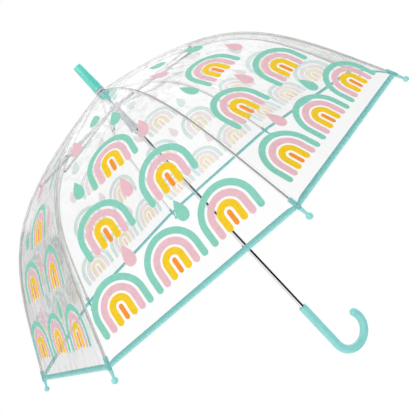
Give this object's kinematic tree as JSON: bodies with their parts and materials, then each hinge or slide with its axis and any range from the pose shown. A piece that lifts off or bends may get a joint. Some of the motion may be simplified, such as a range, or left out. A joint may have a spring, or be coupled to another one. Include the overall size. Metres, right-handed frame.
{
  "type": "umbrella",
  "caption": "Children's clear dome umbrella with printed film canopy, steel ribs, sliding runner with stretchers and a J-hook handle.",
  "frame": {"origin": "middle of the straight part of the handle, on the shaft's axis, where a hand holds it", "axes": "+Z along the shaft to the ferrule, +X the way the hook opens"},
  "size_m": [0.7504, 0.7504, 0.6854],
  "materials": {
    "steel": "bright chromed steel tube and wire",
    "rib_steel": "light drawn steel rod",
    "rivet_steel": "dark steel rivets",
    "stretcher_steel": "light grey coated steel channel",
    "mint_plastic": "glossy mint moulded plastic",
    "turquoise_plastic": "glossy turquoise moulded plastic",
    "grey_plastic": "light grey moulded plastic",
    "clear_film": "clear soft film with printed rainbows and drops",
    "teal_tape": "slightly see-through teal binding tape"
  },
  "bodies": {
    "shaft": {"shaft_tube": "steel", "handle": "mint_plastic", "ferrule": "turquoise_plastic", "ferrule_washer": "grey_plastic", "top_notch": "mint_plastic", "notch_wire": "steel", "notch_pin": "steel", "canopy_crown": "clear_film"},
    "runner": {"runner": "grey_plastic", "runner_wire": "steel"},
    "top_catch": {"top_catch_spring": "steel"},
    "bottom_catch": {"bottom_catch_spring": "steel"},
    "rib_1": {"rib_1": "rib_steel", "rib_tip_1": "mint_plastic", "canopy_gore_1": "clear_film", "hem_tape_1": "teal_tape"},
    "rib_2": {"rib_2": "rib_steel", "rib_tip_2": "mint_plastic", "canopy_gore_2": "clear_film", "hem_tape_2": "teal_tape"},
    "rib_3": {"rib_3": "rib_steel", "rib_tip_3": "mint_plastic", "canopy_gore_3": "clear_film", "hem_tape_3": "teal_tape"},
    "rib_4": {"rib_4": "rib_steel", "rib_tip_4": "mint_plastic", "canopy_gore_4": "clear_film", "hem_tape_4": "teal_tape"},
    "rib_5": {"rib_5": "rib_steel", "rib_tip_5": "mint_plastic", "canopy_gore_5": "clear_film", "hem_tape_5": "teal_tape"},
    "rib_6": {"rib_6": "rib_steel", "rib_tip_6": "mint_plastic", "canopy_gore_6": "clear_film", "hem_tape_6": "teal_tape"},
    "rib_7": {"rib_7": "rib_steel", "rib_tip_7": "mint_plastic", "canopy_gore_7": "clear_film", "hem_tape_7": "teal_tape"},
    "rib_8": {"rib_8": "rib_steel", "rib_tip_8": "mint_plastic", "canopy_gore_8": "clear_film", "hem_tape_8": "teal_tape"},
    "stretcher_1": {"stretcher_1": "stretcher_steel", "stretcher_rivet_1": "rivet_steel"},
    "stretcher_2": {"stretcher_2": "stretcher_steel", "stretcher_rivet_2": "rivet_steel"},
    "stretcher_3": {"stretcher_3": "stretcher_steel", "stretcher_rivet_3": "rivet_steel"},
    "stretcher_4": {"stretcher_4": "stretcher_steel", "stretcher_rivet_4": "rivet_steel"},
    "stretcher_5": {"stretcher_5": "stretcher_steel", "stretcher_rivet_5": "rivet_steel"},
    "stretcher_6": {"stretcher_6": "stretcher_steel", "stretcher_rivet_6": "rivet_steel"},
    "stretcher_7": {"stretcher_7": "stretcher_steel", "stretcher_rivet_7": "rivet_steel"},
    "stretcher_8": {"stretcher_8": "stretcher_steel", "stretcher_rivet_8": "rivet_steel"}
  },
  "joints": [
    {"name": "runner_slide", "type": "slide", "parent": "shaft", "child": "runner", "axis": [0, 0, -1], "range_m": [0, 0.2676], "deforming": ["top_catch_spring", "bottom_catch_spring"]},
    {"name": "top_catch_press", "type": "slide", "parent": "shaft", "child": "top_catch", "axis": [1, 0, 0], "range_m": [0, 0.0015], "stiffness_N_per_m": 400},
    {"name": "bottom_catch_press", "type": "slide", "parent": "shaft", "child": "bottom_catch", "axis": [1, 0, 0], "range_m": [0, 0.0015], "stiffness_N_per_m": 400},
    {"name": "rib_1_fold", "type": "hinge", "parent": "shaft", "child": "rib_1", "pos_m": [0.00792, -0.00111, 0.53961], "axis": [0.1392, 0.9903, 0], "range_deg": [0, 49.1], "deforming": ["canopy_gore_1", "hem_tape_1"]},
    {"name": "rib_2_fold", "type": "hinge", "parent": "shaft", "child": "rib_2", "pos_m": [0.00639, 0.00481, 0.53961], "axis": [-0.6018, 0.7986, 0], "range_deg": [0, 49.1], "deforming": ["canopy_gore_2", "hem_tape_2"]},
    {"name": "rib_3_fold", "type": "hinge", "parent": "shaft", "child": "rib_3", "pos_m": [0.00111, 0.00792, 0.53961], "axis": [-0.9903, 0.1392, 0], "range_deg": [0, 49.1], "deforming": ["canopy_gore_3", "hem_tape_3"]},
    {"name": "rib_4_fold", "type": "hinge", "parent": "shaft", "child": "rib_4", "pos_m": [-0.00481, 0.00639, 0.53961], "axis": [-0.7986, -0.6018, 0], "range_deg": [0, 49.1], "deforming": ["canopy_gore_4", "hem_tape_4"]},
    {"name": "rib_5_fold", "type": "hinge", "parent": "shaft", "child": "rib_5", "pos_m": [-0.00792, 0.00111, 0.53961], "axis": [-0.1392, -0.9903, 0], "range_deg": [0, 49.1], "deforming": ["canopy_gore_5", "hem_tape_5"]},
    {"name": "rib_6_fold", "type": "hinge", "parent": "shaft", "child": "rib_6", "pos_m": [-0.00639, -0.00481, 0.53961], "axis": [0.6018, -0.7986, 0], "range_deg": [0, 49.1], "deforming": ["canopy_gore_6", "hem_tape_6"]},
    {"name": "rib_7_fold", "type": "hinge", "parent": "shaft", "child": "rib_7", "pos_m": [-0.00111, -0.00792, 0.53961], "axis": [0.9903, -0.1392, 0], "range_deg": [0, 49.1], "deforming": ["canopy_gore_7", "hem_tape_7"]},
    {"name": "rib_8_fold", "type": "hinge", "parent": "shaft", "child": "rib_8", "pos_m": [0.00481, -0.00639, 0.53961], "axis": [0.7986, 0.6018, 0], "range_deg": [0, 49.1], "deforming": ["canopy_gore_8", "hem_tape_8"]},
    {"name": "stretcher_1_swing", "type": "hinge", "parent": "runner", "child": "stretcher_1", "pos_m": [0.00673, -0.00095, 0.51], "axis": [-0.1392, -0.9903, 0], "range_deg": [0, 69.41]},
    {"name": "stretcher_2_swing", "type": "hinge", "parent": "runner", "child": "stretcher_2", "pos_m": [0.00543, 0.00409, 0.51], "axis": [0.6018, -0.7986, 0], "range_deg": [0, 69.41]},
    {"name": "stretcher_3_swing", "type": "hinge", "parent": "runner", "child": "stretcher_3", "pos_m": [0.00095, 0.00673, 0.51], "axis": [0.9903, -0.1392, 0], "range_deg": [0, 69.41]},
    {"name": "stretcher_4_swing", "type": "hinge", "parent": "runner", "child": "stretcher_4", "pos_m": [-0.00409, 0.00543, 0.51], "axis": [0.7986, 0.6018, 0], "range_deg": [0, 69.41]},
    {"name": "stretcher_5_swing", "type": "hinge", "parent": "runner", "child": "stretcher_5", "pos_m": [-0.00673, 0.00095, 0.51], "axis": [0.1392, 0.9903, 0], "range_deg": [0, 69.41]},
    {"name": "stretcher_6_swing", "type": "hinge", "parent": "runner", "child": "stretcher_6", "pos_m": [-0.00543, -0.00409, 0.51], "axis": [-0.6018, 0.7986, 0], "range_deg": [0, 69.41]},
    {"name": "stretcher_7_swing", "type": "hinge", "parent": "runner", "child": "stretcher_7", "pos_m": [-0.00095, -0.00673, 0.51], "axis": [-0.9903, 0.1392, 0], "range_deg": [0, 69.41]},
    {"name": "stretcher_8_swing", "type": "hinge", "parent": "runner", "child": "stretcher_8", "pos_m": [0.00409, -0.00543, 0.51], "axis": [-0.7986, -0.6018, 0], "range_deg": [0, 69.41]}
  ],
  "couplings": [
    {"joint": "rib_1_fold", "follows": "runner_slide", "rad_per_m": 3.1959},
    {"joint": "rib_2_fold", "follows": "runner_slide", "rad_per_m": 3.1959},
    {"joint": "rib_3_fold", "follows": "runner_slide", "rad_per_m": 3.1959},
    {"joint": "rib_4_fold", "follows": "runner_slide", "rad_per_m": 3.1959},
    {"joint": "rib_5_fold", "follows": "runner_slide", "rad_per_m": 3.1959},
    {"joint": "rib_6_fold", "follows": "runner_slide", "rad_per_m": 3.1959},
    {"joint": "rib_7_fold", "follows": "runner_slide", "rad_per_m": 3.1959},
    {"joint": "rib_8_fold", "follows": "runner_slide", "rad_per_m": 3.1959},
    {"joint": "stretcher_1_swing", "follows": "runner_slide", "rad_per_m": 4.5204},
    {"joint": "stretcher_2_swing", "follows": "runner_slide", "rad_per_m": 4.5204},
    {"joint": "stretcher_3_swing", "follows": "runner_slide", "rad_per_m": 4.5204},
    {"joint": "stretcher_4_swing", "follows": "runner_slide", "rad_per_m": 4.5204},
    {"joint": "stretcher_5_swing", "follows": "runner_slide", "rad_per_m": 4.5204},
    {"joint": "stretcher_6_swing", "follows": "runner_slide", "rad_per_m": 4.5204},
    {"joint": "stretcher_7_swing", "follows": "runner_slide", "rad_per_m": 4.5204},
    {"joint": "stretcher_8_swing", "follows": "runner_slide", "rad_per_m": 4.5204}
  ]
}
